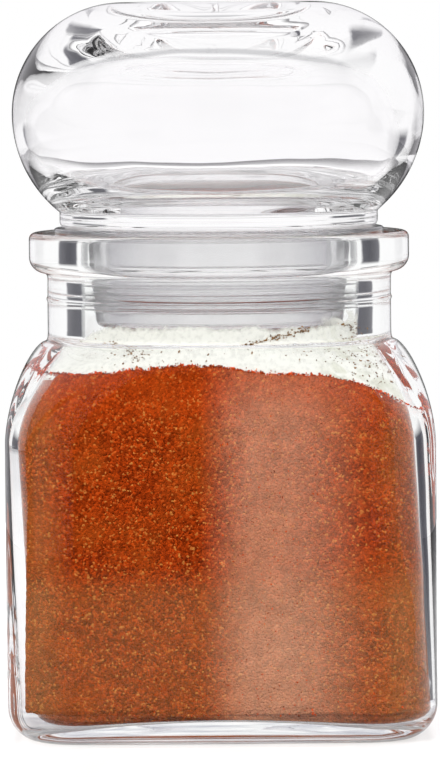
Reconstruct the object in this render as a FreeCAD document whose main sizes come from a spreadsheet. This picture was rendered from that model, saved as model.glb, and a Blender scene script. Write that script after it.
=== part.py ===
"""Square glass spice jar with a hollow glass stopper lid, filled with a ground spice.

Millimetres, +Z up, origin at the middle of the base, on the surface the jar stands on.
Front is -Y. Four loose pieces: the glass jar, the plastic seal on its mouth, the hollow
glass lid that stands in the seal, and the ground spice that fills the jar.
"""
import FreeCAD, Part
import Sketcher
import math
import os

SIZES = (
    ("body_width", 60.0, "square body, across the middle of two faces"),
    ("corner_radius", 10.5, "upright corners of the body"),
    ("face_bow", 0.25, "how far the middle of a face stands out past its corners"),
    ("heel_radius", 5.0, "rounding from the faces into the base"),
    ("body_height", 41.0, "straight part of the body, from the base up"),
    ("shoulder_height", 13.3, "round shoulder, from the body up to the neck"),
    ("shoulder_step", 0.6, "how far the shoulder's top stands out past the neck and the bore"),
    ("neck_height", 9.7, "round neck, from the shoulder up to the rim bead"),
    ("bead_height", 5.6, "rim bead, up to the mouth"),
    ("bore_diameter", 38.8, "mouth and neck, inside"),
    ("neck_wall", 4.7, "glass of the neck"),
    ("bead_reach", 2.55, "how far the rim bead stands out past the neck"),
    ("bead_top_radius", 0.9, "upper edge of the rim bead"),
    ("bead_low_radius", 2.2, "lower edge of the rim bead"),
    ("side_wall", 2.3, "glass of the body"),
    ("floor_thickness", 2.5, "glass under the inside's corners"),
    ("floor_rise", 3.0, "how much thicker the middle of the base is"),
    ("floor_rise_radius", 34.0, "where that rise runs out"),
    ("floor_edge_radius", 2.2, "rounding from the inside's walls into its floor"),
    ("lean_low", 1.1, "inside's offset to the right at its floor, as the glass is uneven"),
    ("lean_high", -0.45, "inside's offset to the right at the shoulder"),
    ("punt_depth", 0.8, "hollow under the base"),
    ("punt_margin", 4.0, "flat ring that the jar stands on, between the heel and that hollow"),
    ("seal_setback", 3.55, "from the rim bead's side to the edge of the seal's flange"),
    ("seal_thickness", 0.65, "flange of the seal"),
    ("sleeve_depth", 13.0, "sleeve of the seal, below the mouth"),
    ("sleeve_clearance", 0.9, "between the bore and the sleeve's upper end"),
    ("sleeve_taper", 1.1, "how much narrower the sleeve's lower end is"),
    ("sleeve_wall", 1.45, "sleeve at its lower end"),
    ("sleeve_edge_radius", 1.1, "rounding at the sleeve's lower end"),
    ("rib_clearance", 0.1, "between the sealing ribs and the bore"),
    ("rib_height", 0.55, "a sealing rib along the sleeve"),
    ("rib_first", 6.9, "top rib, below the mouth"),
    ("rib_pitch", 1.55, "from one rib to the next"),
    ("stem_clearance", 0.15, "between the lid's glass stem and the sleeve round it"),
    ("stem_recess", 2.65, "from the sleeve's lower end up to the stem's"),
    ("foot_setback", 0.8, "from the edge of the flange to the lid's foot ring"),
    ("foot_edge_radius", 0.9, "lower edge of the foot ring"),
    ("foot_height", 2.2, "foot ring, up to where the lid flares out"),
    ("lid_diameter", 57.8, "widest part of the lid"),
    ("lid_equator", 16.0, "widest part, above the lid's foot"),
    ("lid_crown", 15.5, "curve from the widest part up to the flat top"),
    ("dimple_depth", 0.9, "hollow in the lid's flat top"),
    ("lid_wall", 2.4, "glass between the lid's side and its air bubble"),
    ("lid_ceiling", 4.6, "glass over the bubble, at the middle"),
    ("bubble_floor", 5.0, "floor of the bubble, above the lid's foot"),
    ("bubble_floor_inset", 6.0, "from the bubble's widest part in to its flat floor"),
    ("bubble_drop", 1.5, "how much lower the bubble is widest than the lid"),
    ("bubble_arch", 0.5, "how far the bubble's ceiling arches up"),
    ("spice_clearance", 0.12, "between the spice and the glass"),
    ("heap_headroom", 7.3, "from the neck's foot down to the spice, before its rises and falls"),
    ("heap_crown", 3.5, "broad rise in the middle of the heap"),
    ("heap_mound", 1.3, "smaller mound on top of it"),
    ("heap_fall", 4.9, "how much lower the heap lies at the right wall"),
    ("heap_lump", 0.3, "unevenness of the heap"),
)

# Shoulder sections: share of the way up, from the straight body to the neck.
SHOULDER_STEPS = (0.0, 0.25, 0.5, 0.72, 0.9)
SHOULDER_RISE_POWER = 1.7
SHOULDER_RUN_POWER = 0.72
# A neck section is all but round: share of the neck's radius kept as corner offset and bow.
ROUND_OFFSET = 0.02
ROUND_BOW = 0.004
OVERLAP = 1.0
RIB_COUNT = 3
RIB_TIP_SHARE = 0.2
FLOOR_EDGE_STEPS = 5
HEAP_STEPS = 12
# Shapes of the heap's rises and falls, as shares of half the body's width.
CROWN_DROP_ACROSS = 0.3
CROWN_DROP_ALONG = 0.12
MOUND_PLACE = (-0.15, -0.6)
MOUND_SPREAD = (0.2, 0.6)
FALL_START = 0.35
FALL_RUN = 0.52
FALL_POWER = 2.2
LUMP_WAVES = (5.1, 4.3)
LUMP_PHASES = (1.3, 0.4)

document = FreeCAD.newDocument("SpiceJar")


class Size:
    """A length that carries both its number and the formula that the sheet works it out by."""

    def __init__(self, value, formula):
        self.value = value
        self.formula = formula

    def joined(self, other, sign, value_of):
        other = other if isinstance(other, Size) else Size(other, repr(other))
        return Size(value_of(self.value, other.value), f"({self.formula} {sign} {other.formula})")

    def __add__(self, other):
        return self.joined(other, "+", lambda a, b: a + b)

    def __sub__(self, other):
        return self.joined(other, "-", lambda a, b: a - b)

    def __mul__(self, other):
        return self.joined(other, "*", lambda a, b: a * b)

    def __truediv__(self, other):
        return self.joined(other, "/", lambda a, b: a / b)

    def __neg__(self):
        return Size(-self.value, f"(-1 * {self.formula})")


def make_sheet():
    """The driving dimensions, one alias a row, as a dictionary of Sizes."""
    sheet = document.addObject("Spreadsheet::Sheet", "Sizes")
    sizes = {}
    for row, (alias, value, meaning) in enumerate(SIZES, start=1):
        sheet.set(f"A{row}", alias)
        sheet.set(f"B{row}", str(value))
        sheet.set(f"C{row}", meaning)
        sheet.setAlias(f"B{row}", alias)
        sizes[alias] = Size(value, f"Sizes.{alias}")
    document.recompute()
    add_derived_sizes(sizes)
    return sizes


def add_derived_sizes(sizes):
    """Sizes and levels that follow from the driving ones, so that what fits together stays so."""
    sizes["zero"] = sizes["body_width"] * 0.0
    sizes["half_width"] = sizes["body_width"] / 2.0
    sizes["bore_radius"] = sizes["bore_diameter"] / 2.0
    sizes["neck_radius"] = sizes["bore_radius"] + sizes["neck_wall"]
    sizes["bead_radius"] = sizes["neck_radius"] + sizes["bead_reach"]
    sizes["neck_level"] = sizes["body_height"] + sizes["shoulder_height"]
    sizes["bead_level"] = sizes["neck_level"] + sizes["neck_height"]
    sizes["mouth_level"] = sizes["bead_level"] + sizes["bead_height"]
    sizes["flange_radius"] = sizes["bead_radius"] - sizes["seal_setback"]
    sizes["foot_level"] = sizes["mouth_level"] + sizes["seal_thickness"]
    sizes["sleeve_top_radius"] = sizes["bore_radius"] - sizes["sleeve_clearance"]
    sizes["sleeve_end_radius"] = sizes["sleeve_top_radius"] - sizes["sleeve_taper"]
    sizes["sleeve_bore_radius"] = sizes["sleeve_end_radius"] - sizes["sleeve_wall"]
    sizes["sleeve_end_level"] = sizes["mouth_level"] - sizes["sleeve_depth"]


def make_body(name):
    body = document.addObject("PartDesign::Body", name)
    body.Label = name
    return body


def body_plane(body, role):
    for feature in body.Origin.OriginFeatures:
        if feature.Role == role:
            return feature
    raise ValueError(f"{body.Label} has no {role}")


def make_sketch(body, name, role, height=None, shift=None):
    sketch = body.newObject("Sketcher::SketchObject", name)
    sketch.AttachmentSupport = (body_plane(body, role), [""])
    sketch.MapMode = "FlatFace"
    if height is not None:
        sketch.setExpression("AttachmentOffset.Base.z", f"{height.formula} * 1mm")
    if shift is not None:
        sketch.setExpression("AttachmentOffset.Base.x", f"{shift.formula} * 1mm")
    return sketch


def bind(sketch, constraint, size):
    index = sketch.addConstraint(constraint)
    sketch.setExpression(f"Constraints[{index}]", f"{size.formula} * 1mm")


def arc_middle(start, end, radius, side):
    """Middle of the short arc from start to end, bulging to the right (1) or left (-1) of its way."""
    chord = end - start
    middle = (start + end) * 0.5
    outward = FreeCAD.Vector(chord.y, -chord.x, 0).normalize() * side
    half = chord.Length / 2
    sagitta = radius - math.sqrt(max(radius * radius - half * half, 0.0))
    return middle + outward * sagitta


def draw_outline(sketch, corners):
    """A closed outline. Each corner is (x, y) or (x, y, radius, side), for an arc that leaves it."""
    points = [FreeCAD.Vector(corner[0].value, corner[1].value, 0) for corner in corners]
    count = len(corners)
    for index, corner in enumerate(corners):
        start = points[index]
        end = points[(index + 1) % count]
        if len(corner) == 2:
            sketch.addGeometry(Part.LineSegment(start, end))
        else:
            middle = arc_middle(start, end, corner[2].value, corner[3])
            sketch.addGeometry(Part.Arc(start, middle, end))
    ends = [start_and_end(sketch, index, points[index]) for index in range(count)]
    for index, corner in enumerate(corners):
        begin, finish = ends[index]
        following = (index + 1) % count
        sketch.addConstraint(
            Sketcher.Constraint("Coincident", index, finish, following, ends[following][0]))
        bind(sketch, Sketcher.Constraint("DistanceX", index, begin, corner[0].value), corner[0])
        bind(sketch, Sketcher.Constraint("DistanceY", index, begin, corner[1].value), corner[1])
        if len(corner) > 2:
            bind(sketch, Sketcher.Constraint("Radius", index, corner[2].value), corner[2])


def start_and_end(sketch, index, start):
    """Which of a sketch edge's two ends lies at its outline's corner: arcs always run one way."""
    if sketch.getPoint(index, 1).distanceToPoint(start) < 1e-6:
        return 1, 2
    return 2, 1


def draw_bowed_square(sketch, half, corner, bow):
    """A square with round corners and faces that bow out, as eight arcs that meet tangent."""
    offset = half - corner - bow
    face = ((offset - half) * (offset - half) + offset * offset - corner * corner) / (bow * 2.0)
    share = face / (face - corner)
    far = half - face + (offset - half + face) * share
    near = offset * share
    corners = []
    quarter = [(far, -near), (far, near), (near, far), (-near, far),
               (-far, near), (-far, -near), (-near, -far), (near, -far)]
    for index, (x, y) in enumerate(quarter):
        radius = face if index % 2 == 0 else corner
        corners.append((x, y, radius, 1))
    draw_outline(sketch, corners)


def pad_section(body, name, height_of_foot, height_of_top, half, corner, bow):
    sketch = make_sketch(body, f"{name}_outline", "XY_Plane", height_of_foot)
    draw_bowed_square(sketch, half, corner, bow)
    pad = body.newObject("PartDesign::Pad", name)
    pad.Profile = sketch
    pad.setExpression("Length", f"({height_of_top.formula} - {height_of_foot.formula}) * 1mm")
    return pad


def loft_sections(body, name, sections):
    """A loft through bowed squares, each (height, shift, half, corner, bow)."""
    sketches = []
    for index, (height, shift, half, corner, bow) in enumerate(sections):
        sketch = make_sketch(body, f"{name}_{index}", "XY_Plane", height, shift)
        draw_bowed_square(sketch, half, corner, bow)
        sketches.append(sketch)
    loft = body.newObject("PartDesign::AdditiveLoft", name)
    loft.Profile = sketches[0]
    loft.Sections = sketches[1:]
    loft.Ruled = len(sections) == 2
    return loft


def shoulder_sections(sizes, half, corner, round_radius, lean):
    """Sections from the square body to an end that is all but round, a step wider than the neck."""
    neck_radius = round_radius + sizes["shoulder_step"]
    low = sizes["body_height"]
    rise = sizes["shoulder_height"]
    round_corner = neck_radius * (1 - ROUND_OFFSET - ROUND_BOW)
    sections = []
    for share in SHOULDER_STEPS:
        run = (1 - share ** SHOULDER_RISE_POWER) ** SHOULDER_RUN_POWER
        reach = neck_radius + (half - neck_radius) * run
        rounding = 1 - run
        round_share = corner + (round_corner - corner) * rounding
        bow = sizes["face_bow"] + (neck_radius * ROUND_BOW - sizes["face_bow"]) * rounding
        sections.append((low + rise * share, lean * run, reach, round_share, bow))
    last_bow = neck_radius * ROUND_BOW
    sections.append((sizes["neck_level"], lean * 0.0, neck_radius, round_corner, last_bow))
    return sections


def revolve_outline(body, name, kind, corners):
    sketch = make_sketch(body, f"{name}_outline", "XZ_Plane")
    draw_outline(sketch, corners)
    feature = body.newObject(kind, name)
    feature.Profile = sketch
    feature.ReferenceAxis = (sketch, ["V_Axis"])
    feature.Angle = 360
    return feature


def round_edges_at(body, name, height, radius):
    """Fillets every edge of the body that lies wholly at one height."""
    document.recompute()
    base = body.Tip
    names = []
    for number, edge in enumerate(base.Shape.Edges, start=1):
        box = edge.BoundBox
        if abs(box.ZMin - height.value) < 1e-4 and abs(box.ZMax - height.value) < 1e-4:
            names.append(f"Edge{number}")
    fillet = body.newObject("PartDesign::Fillet", name)
    fillet.Base = (base, names)
    fillet.setExpression("Radius", f"{radius.formula} * 1mm")
    return fillet


def tangent_radius(run, rise):
    """Radius of the arc that starts upright and has moved sideways by run after its rise."""
    return (run * run + rise * rise) / (run * 2.0)


def make_glass_outside(sizes):
    """The jar's outside: bowed square body, round shoulder, neck and rim bead."""
    body = make_body("glass_outside")
    zero = sizes["zero"]
    half = sizes["half_width"]
    neck_radius = sizes["neck_radius"]
    corner = sizes["corner_radius"]
    pad_section(body, "outside_walls", zero, sizes["body_height"], half, corner,
                sizes["face_bow"])
    round_edges_at(body, "heel", zero, sizes["heel_radius"])
    loft_sections(body, "outside_shoulder",
                  shoulder_sections(sizes, half, corner, neck_radius, zero))
    bead_radius = sizes["bead_radius"]
    low = sizes["bead_level"]
    top = sizes["mouth_level"]
    low_edge = sizes["bead_low_radius"]
    top_edge = sizes["bead_top_radius"]
    root = sizes["neck_level"] - OVERLAP
    revolve_outline(body, "neck_and_bead", "PartDesign::Revolution", [
        (zero, root),
        (neck_radius, root),
        (neck_radius, low),
        (bead_radius - low_edge, low, low_edge, 1),
        (bead_radius, low + low_edge),
        (bead_radius, top - top_edge, top_edge, 1),
        (bead_radius - top_edge, top),
        (zero, top),
    ])
    punt = half - sizes["heel_radius"] - sizes["punt_margin"]
    depth = sizes["punt_depth"]
    revolve_outline(body, "punt", "PartDesign::Groove", [
        (zero, zero - OVERLAP),
        (punt, zero - OVERLAP),
        (punt, zero, tangent_radius(depth, punt), 1),
        (zero, depth),
    ])
    return body


def make_glass_inside(sizes, name, gap):
    """The space inside the jar, a gap smaller all round: floor, walls, shoulder and bore."""
    body = make_body(name)
    zero = sizes["zero"]
    half = sizes["half_width"] - sizes["side_wall"] - gap
    corner = sizes["corner_radius"] - sizes["side_wall"] - gap
    bore_radius = sizes["bore_radius"] - gap
    floor = sizes["floor_thickness"] + gap
    bow = sizes["face_bow"]
    edge = sizes["floor_edge_radius"]
    rounding = []
    for step in range(FLOOR_EDGE_STEPS + 1):
        turn = math.pi / 2 * step / FLOOR_EDGE_STEPS
        inset = edge * (1 - math.sin(turn))
        rounding.append((floor + edge * (1 - math.cos(turn)), sizes["lean_low"],
                         half - inset, corner - inset, bow))
    loft_sections(body, f"{name}_floor_edge", rounding)
    loft_sections(body, f"{name}_walls", [
        (floor + edge, sizes["lean_low"], half, corner, bow),
        (sizes["body_height"], sizes["lean_high"], half, corner, bow),
    ])
    loft_sections(body, f"{name}_shoulder",
                  shoulder_sections(sizes, half, corner, bore_radius, sizes["lean_high"]))
    root = sizes["neck_level"] - OVERLAP
    over = sizes["mouth_level"] + OVERLAP
    revolve_outline(body, f"{name}_bore", "PartDesign::Revolution", [
        (zero, root),
        (bore_radius, root),
        (bore_radius, over),
        (zero, over),
    ])
    reach = sizes["floor_rise_radius"]
    rise = sizes["floor_rise"]
    below = floor - OVERLAP
    revolve_outline(body, f"{name}_floor", "PartDesign::Groove", [
        (zero, below),
        (reach, below),
        (reach, floor, tangent_radius(rise, reach), 1),
        (zero, floor + rise),
    ])
    return body


def make_jar(sizes):
    jar = document.addObject("Part::Cut", "jar")
    jar.Label = "jar"
    jar.Base = make_glass_outside(sizes)
    jar.Tool = make_glass_inside(sizes, "glass_inside", sizes["zero"])
    return jar


def heap_height(sizes, across, along):
    """Level of the spice, from shares of half the body's width: a broad crown, a mound left of
    the middle, a fall to the right wall and some unevenness."""
    drop = CROWN_DROP_ACROSS * across ** 2 + CROWN_DROP_ALONG * along ** 2
    crown = sizes["heap_crown"].value * max(0.0, 1 - drop)
    mound_x = (across - MOUND_PLACE[0]) / MOUND_SPREAD[0]
    mound_y = (along - MOUND_PLACE[1]) / MOUND_SPREAD[1]
    mound = sizes["heap_mound"].value * math.exp(-(mound_x ** 2 + mound_y ** 2) / 2)
    fall = sizes["heap_fall"].value * max(0.0, (across - FALL_START) / FALL_RUN) ** FALL_POWER
    wave_x = math.sin(LUMP_WAVES[0] * across + LUMP_PHASES[0])
    wave_y = math.sin(LUMP_WAVES[1] * along + LUMP_PHASES[1])
    lump = sizes["heap_lump"].value * wave_x * wave_y
    level = sizes["neck_level"].value - sizes["heap_headroom"].value
    return level + crown + mound - fall + lump


def make_heap(sizes):
    """A block under the heap's uneven surface, wider than the jar's inside."""
    half = sizes["half_width"].value
    shares = [2 * step / HEAP_STEPS - 1 for step in range(HEAP_STEPS + 1)]
    grid = []
    for across in shares:
        grid.append([FreeCAD.Vector(half * across, half * along, heap_height(sizes, across, along))
                     for along in shares])
    surface = Part.BSplineSurface()
    surface.interpolate(grid)
    heap = document.addObject("Part::Feature", "heap")
    heap.Shape = surface.toShape().extrude(FreeCAD.Vector(0, 0, -sizes["neck_level"].value))
    return heap


def make_spice(sizes):
    spice = document.addObject("Part::Common", "ground_spice")
    spice.Label = "ground_spice"
    spice.Base = make_glass_inside(sizes, "spice_form", sizes["spice_clearance"])
    spice.Tool = make_heap(sizes)
    return spice


def make_seal(sizes):
    """The seal: a thin flange on the mouth and a ribbed sleeve down the bore."""
    body = make_body("seal")
    mouth = sizes["mouth_level"]
    flange_radius = sizes["flange_radius"]
    flange_top = sizes["foot_level"]
    inner = sizes["sleeve_bore_radius"]
    end_radius = sizes["sleeve_end_radius"]
    edge = sizes["sleeve_edge_radius"]
    end = sizes["sleeve_end_level"]
    revolve_outline(body, "flange_and_sleeve", "PartDesign::Revolution", [
        (inner, end),
        (end_radius - edge, end, edge, 1),
        (end_radius, end + edge),
        (sizes["sleeve_top_radius"], mouth),
        (flange_radius, mouth),
        (flange_radius, flange_top),
        (inner, flange_top),
    ])
    rib_radius = sizes["bore_radius"] - sizes["rib_clearance"]
    rib_root = inner + sizes["sleeve_wall"] / 2.0
    thick = sizes["rib_height"]
    for index in range(RIB_COUNT):
        level = mouth - sizes["rib_first"] - sizes["rib_pitch"] * float(index)
        revolve_outline(body, f"rib_{index}", "PartDesign::Revolution", [
            (rib_root, level - thick / 2.0),
            (rib_radius - thick, level - thick / 2.0),
            (rib_radius, level - thick * RIB_TIP_SHARE),
            (rib_radius, level + thick * RIB_TIP_SHARE),
            (rib_radius - thick, level + thick / 2.0),
            (rib_root, level + thick / 2.0),
        ])
    return body


def make_lid(sizes):
    """The lid: a flattened glass ball on a foot ring and stem, with an air bubble inside."""
    body = make_body("lid")
    zero = sizes["zero"]
    foot = sizes["foot_level"]
    foot_radius = sizes["flange_radius"] - sizes["foot_setback"]
    foot_edge = sizes["foot_edge_radius"]
    stem = sizes["sleeve_bore_radius"] - sizes["stem_clearance"]
    stem_end = sizes["sleeve_end_level"] + sizes["stem_recess"]
    equator = foot + sizes["lid_equator"]
    widest = sizes["lid_diameter"] / 2.0
    flare = foot + sizes["foot_height"]
    crown = sizes["lid_crown"]
    top = equator + crown
    brim = widest - crown
    depth = sizes["dimple_depth"]
    revolve_outline(body, "lid_outside", "PartDesign::Revolution", [
        (zero, stem_end),
        (stem, stem_end),
        (stem, foot),
        (foot_radius - foot_edge, foot, foot_edge, 1),
        (foot_radius, foot + foot_edge),
        (foot_radius, flare, tangent_radius(widest - foot_radius, equator - flare), 1),
        (widest, equator, crown, 1),
        (brim, top, tangent_radius(depth, brim), -1),
        (zero, top - depth),
    ])
    bubble_equator = equator - sizes["bubble_drop"]
    bubble_floor = foot + sizes["bubble_floor"]
    bubble_widest = widest - sizes["lid_wall"]
    inset = sizes["bubble_floor_inset"]
    arch = sizes["bubble_arch"]
    ceiling = top - depth - sizes["lid_ceiling"]
    bubble_high = ceiling - arch - bubble_equator
    bubble_brim = bubble_widest - bubble_high
    revolve_outline(body, "bubble", "PartDesign::Groove", [
        (zero, bubble_floor),
        (bubble_widest - inset, bubble_floor,
         tangent_radius(inset, bubble_equator - bubble_floor), 1),
        (bubble_widest, bubble_equator, bubble_high, 1),
        (bubble_brim, ceiling - arch, tangent_radius(arch, bubble_brim), 1),
        (zero, ceiling),
    ])
    return body


def check_and_write(parts):
    """Stops on any failed object or bad shape, then writes one STEP file for each piece."""
    document.recompute()
    for item in document.Objects:
        if "Invalid" in item.State or "Error" in item.State:
            raise RuntimeError(f"{item.Label} failed: {item.State}")
    for part in parts:
        if part.Shape.isNull() or not part.Shape.isValid() or len(part.Shape.Solids) != 1:
            raise RuntimeError(f"{part.Label} is not one valid solid")
    os.makedirs("parts", exist_ok=True)
    for part in parts:
        part.Shape.exportStep(os.path.join("parts", f"{part.Label}.step"))
        box = part.Shape.BoundBox
        print(f"{part.Label}: volume {part.Shape.Volume:.0f} mm3, "
              f"x {box.XMin:.2f}..{box.XMax:.2f}, y {box.YMin:.2f}..{box.YMax:.2f}, "
              f"z {box.ZMin:.2f}..{box.ZMax:.2f}")


def main():
    sizes = make_sheet()
    parts = [make_jar(sizes), make_spice(sizes), make_seal(sizes), make_lid(sizes)]
    for part in parts:
        part.Placement = FreeCAD.Placement()
    check_and_write(parts)


main()
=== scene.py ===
"""Square glass spice jar with a hollow glass stopper lid, dressed for rendering."""

import math

import bpy
import numpy as np
from bpy.props import FloatProperty, FloatVectorProperty, PointerProperty
from bpy.types import Operator, Panel, PropertyGroup
from mathutils import Matrix, Vector


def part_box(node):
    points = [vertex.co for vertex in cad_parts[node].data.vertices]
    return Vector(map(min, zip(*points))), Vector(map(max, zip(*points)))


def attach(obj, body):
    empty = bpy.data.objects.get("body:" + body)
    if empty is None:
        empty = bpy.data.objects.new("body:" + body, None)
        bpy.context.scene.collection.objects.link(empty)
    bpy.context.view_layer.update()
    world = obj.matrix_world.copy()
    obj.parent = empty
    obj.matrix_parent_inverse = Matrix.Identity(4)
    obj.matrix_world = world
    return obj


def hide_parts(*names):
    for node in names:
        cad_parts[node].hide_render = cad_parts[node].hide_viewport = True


bl_info = {
    "name": "Spice Jar Maker",
    "version": (1, 0, 0),
    "blender": (4, 5, 0),
    "location": "3D View > Sidebar > Spice Jar",
    "description": "Makes a square glass spice jar with its spice, seal and glass stopper",
    "category": "Add Mesh",
}

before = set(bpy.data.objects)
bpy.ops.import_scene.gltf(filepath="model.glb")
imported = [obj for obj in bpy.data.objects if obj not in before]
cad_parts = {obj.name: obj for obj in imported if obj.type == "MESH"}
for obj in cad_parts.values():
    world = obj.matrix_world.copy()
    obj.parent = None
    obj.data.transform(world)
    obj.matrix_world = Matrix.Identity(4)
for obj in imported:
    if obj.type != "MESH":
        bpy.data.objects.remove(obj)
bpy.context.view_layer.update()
JAR_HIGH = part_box("jar")[1]
SEAL_LOW, SEAL_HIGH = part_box("seal")
LID_LOW, LID_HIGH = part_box("lid")
SPICE_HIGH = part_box("ground_spice")[1]

MM = 0.001


# ---------------------------------------------------------------- sizes and colours


def length(name, default, text):
    """A length that the panel shows, with its description."""
    return FloatProperty(name=name, description=text, default=default, unit="LENGTH",
                         subtype="DISTANCE", precision=5)


def colour(name, default, text):
    """A colour that the panel shows, with its description."""
    return FloatVectorProperty(name=name, description=text, default=default, subtype="COLOR",
                               size=3, min=0.0, max=1.0)


class SPICEJAR_JarSizes(PropertyGroup):
    """The glass jar."""
    half_width: length("Half width", JAR_HIGH[0], "Half the width over the bowed faces")
    height: length("Height", JAR_HIGH[2], "Up to the mouth")
    corner: length("Corner", 10.5 * MM, "Radius of the upright corners")
    bow: length("Bow", 0.25 * MM, "How far a face stands out in its middle")
    heel: length("Heel", 5.0 * MM, "Radius between walls and base")
    wall: length("Wall", 2.3 * MM, "Glass of the body")
    floor: length("Floor", 2.5 * MM, "Glass under the inside's corners")
    neck: length("Neck", 24.1 * MM, "Outside radius of the neck")
    bore: length("Bore", 19.4 * MM, "Inside radius of the neck")
    bead: length("Bead", 26.65 * MM, "Radius of the rim bead")
    tint: colour("Tint", (0.982, 0.988, 0.985), "Colour of the glass")
    # Streaks: grey painted shade in the thick base, for the dark that the base bends into view.
    streaks: colour("Streaks", (0.56, 0.57, 0.62), "Streaks in the thick base")


class SPICEJAR_SpiceSizes(PropertyGroup):
    """The ground spice."""
    grain: length("Grain", 0.5 * MM, "Width of a typical grain")
    relief: length("Relief", 0.035 * MM, "Height of the grains against the glass")
    bright: colour("Bright", (0.62, 0.070, 0.006), "Bright grains")
    dark: colour("Dark", (0.180, 0.018, 0.0016), "Dark grains")
    dust: colour("Dust", (0.95, 0.94, 0.89), "Fine dust on the glass")
    speck: colour("Speck", (0.22, 0.11, 0.03), "Specks on the glass")
    pale: colour("Pale", (0.70, 0.26, 0.055), "Pale seed and stalk")


class SPICEJAR_LidSizes(PropertyGroup):
    """The hollow glass stopper."""
    radius: length("Radius", LID_HIGH[0], "Widest part")
    top: length("Top", LID_HIGH[2], "Rim of the hollow in the top")
    stem: length("Stem", 15.8 * MM, "Radius of the stem")
    tint: colour("Tint", (0.982, 0.977, 0.985), "Colour of the glass")


class SPICEJAR_SealSizes(PropertyGroup):
    """The plastic seal."""
    flange: length("Flange", SEAL_HIGH[0], "Radius of the flange")
    milk: colour("Milk", (0.975, 0.972, 0.976), "Colour of the plastic")


class SPICEJAR_StageSizes(PropertyGroup):
    """Floor, light and camera."""
    distance: length("Distance", 1.089, "From the jar's axis to the camera")
    eye: length("Eye height", 0.112, "Height of the camera over the floor")
    aim: length("Aim height", 0.0475, "Height that the camera looks at")
    lens: FloatProperty(name="Lens", description="Focal length in millimetres", default=360.0)
    roll: FloatProperty(name="Roll", description="Turn about the view axis",
                        default=math.radians(-0.45), subtype="ANGLE", unit="ROTATION")


# ---------------------------------------------------------------- shapes


def soft_noise(points, size, seed):
    """Smooth lumps from -1 to 1 at each point, about the given size across."""
    cell = points / size + 512.0
    base = np.floor(cell).astype(np.int64)
    part = cell - base
    part = part * part * (3.0 - 2.0 * part)
    total = np.zeros(len(points))
    for corner in np.ndindex(2, 2, 2):
        at = base + np.array(corner)
        key = (at[:, 0] * 73856093) ^ (at[:, 1] * 19349663) ^ (at[:, 2] * 83492791)
        key = (key ^ (seed * 2654435)) & 0x7FFFFFFF
        key = (key ^ (key >> 13)) * 1274126177 & 0x7FFFFFFF
        value = ((key ^ (key >> 15)) & 0xFFFF) / 32767.5 - 1.0
        weight = np.where(np.array(corner), part, 1.0 - part).prod(axis=1)
        total += weight * value
    return total


def turns(count, crowding):
    """Angles round the jar, closer together at its four corners."""
    even = np.arange(count) * (2 * math.pi / count)
    return even + crowding / 4 * np.sin(4 * even)


def outline_reach(turn, half, corner, bow):
    """Distance from the middle to a square with round corners and bowed faces."""
    offset = half - corner - bow
    face = ((offset - half) ** 2 + offset ** 2 - corner ** 2) / (2 * bow)
    share = face / (face - corner)
    joint = np.arctan2(offset * share, half - face + (offset - half + face) * share)
    folded = np.abs((turn + math.pi / 4) % (math.pi / 2) - math.pi / 4)
    back = half - face
    on_face = back * np.cos(folded) + np.sqrt(face ** 2 - (back * np.sin(folded)) ** 2)
    toward = np.cos(folded) + np.sin(folded)
    under = corner ** 2 - offset ** 2 * (1 - np.sin(2 * folded))
    on_corner = offset * toward + np.sqrt(np.maximum(under, 0.0))
    return np.where(folded < joint, on_face, on_corner)


def ring(turn, level, half, corner, bow, shift=0.0):
    """Points of one outline at a level."""
    reach = outline_reach(turn, half, corner, bow)
    level = np.broadcast_to(level, turn.shape)
    return np.stack([shift + reach * np.cos(turn), reach * np.sin(turn), level], axis=1)


def round_ring(turn, level, radius, shift=0.0):
    """Points of a circle at a level."""
    level = np.broadcast_to(level, turn.shape)
    return np.stack([shift + radius * np.cos(turn), radius * np.sin(turn), level], axis=1)


def lattice(rings, first=None, last=None):
    """Rings joined by quads, closed at each end by a middle point if one is given."""
    rings = np.asarray(rings)
    rows, count = rings.shape[:2]
    points = [rings.reshape(-1, 3)]
    around = np.arange(count)
    after = (around + 1) % count
    low = (np.arange(rows - 1) * count)[:, None]
    quads = np.stack([low + around, low + after, low + count + after, low + count + around],
                     axis=2).reshape(-1, 4)
    loops, sizes = [quads.ravel()], [np.full(len(quads), 4)]
    for middle, start, turned in ((first, 0, (after, around)),
                                  (last, (rows - 1) * count, (around, after))):
        if middle is None:
            continue
        index = np.full(count, sum(len(each) for each in points))
        points.append(np.array([middle], float))
        loops.append(np.stack([index, start + turned[0], start + turned[1]], axis=1).ravel())
        sizes.append(np.full(count, 3))
    return np.concatenate(points), np.concatenate(loops), np.concatenate(sizes)


def closed_band(rings):
    """Rings joined by quads, the last one to the first again."""
    points, loops, sizes = lattice(rings + [rings[0]])
    count = len(points) - len(rings[0])
    return points[:count], np.where(loops >= count, loops - count, loops), sizes


def make_object(name, parts, smooth=True):
    """One object from parts, each (points, loops, face sizes)."""
    firsts = np.cumsum([0] + [len(part[0]) for part in parts])
    points = np.concatenate([part[0] for part in parts])
    loops = np.concatenate([part[1] + first for part, first in zip(parts, firsts)])
    sizes = np.concatenate([part[2] for part in parts])
    mesh = bpy.data.meshes.new(name)
    mesh.vertices.add(len(points))
    mesh.vertices.foreach_set("co", points.astype(np.float32).ravel())
    mesh.loops.add(len(loops))
    mesh.loops.foreach_set("vertex_index", loops.astype(np.int32))
    mesh.polygons.add(len(sizes))
    starts = np.concatenate([[0], np.cumsum(sizes)[:-1]])
    mesh.polygons.foreach_set("loop_start", starts.astype(np.int32))
    mesh.polygons.foreach_set("loop_total", sizes.astype(np.int32))
    mesh.update(calc_edges=True)
    mesh.validate()
    mesh.polygons.foreach_set("use_smooth", [smooth] * len(mesh.polygons))
    piece = bpy.data.objects.new(name, mesh)
    bpy.context.collection.objects.link(piece)
    return piece


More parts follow.
